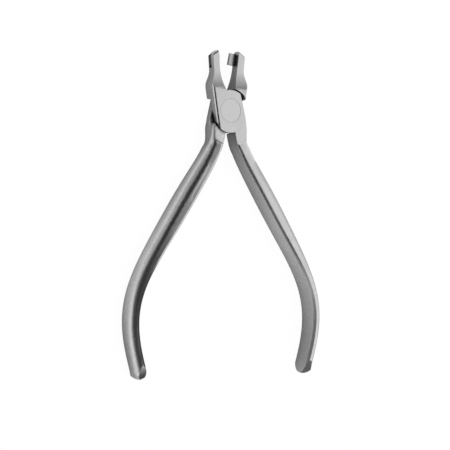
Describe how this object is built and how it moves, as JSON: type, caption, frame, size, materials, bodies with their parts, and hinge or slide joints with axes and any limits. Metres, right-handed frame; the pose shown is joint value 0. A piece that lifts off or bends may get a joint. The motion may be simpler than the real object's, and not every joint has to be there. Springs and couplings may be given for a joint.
{
  "type": "orthodontic pliers",
  "caption": "Lap-jointed orthodontic pliers with curved palm handles, a punch on one beak and a matching die window in the other.",
  "frame": {"origin": "where the pivot axis meets the joint's back face, with the pliers lying on that side", "axes": "+Z along the pivot axis towards the rivet's head, +Y from the pivot towards the beaks, +X to the right of someone who looks at the rivet's head with the beaks up"},
  "size_m": [0.0949, 0.1364, 0.0102],
  "materials": {
    "satin_steel": "fine satin, lightly grained",
    "hardened_steel": "ground",
    "ground_steel": "ground flush with the joint"
  },
  "bodies": {
    "punch_side": {"punch_half": "satin_steel", "punch": "hardened_steel", "pivot_rivet": "ground_steel"},
    "die_side": {"die_half": "satin_steel"}
  },
  "joints": [
    {"name": "pivot", "type": "hinge", "parent": "punch_side", "child": "die_side", "pos_m": [0, 0, 0.0035], "axis": [0, 0, 1], "range_deg": [-23, 24]}
  ]
}
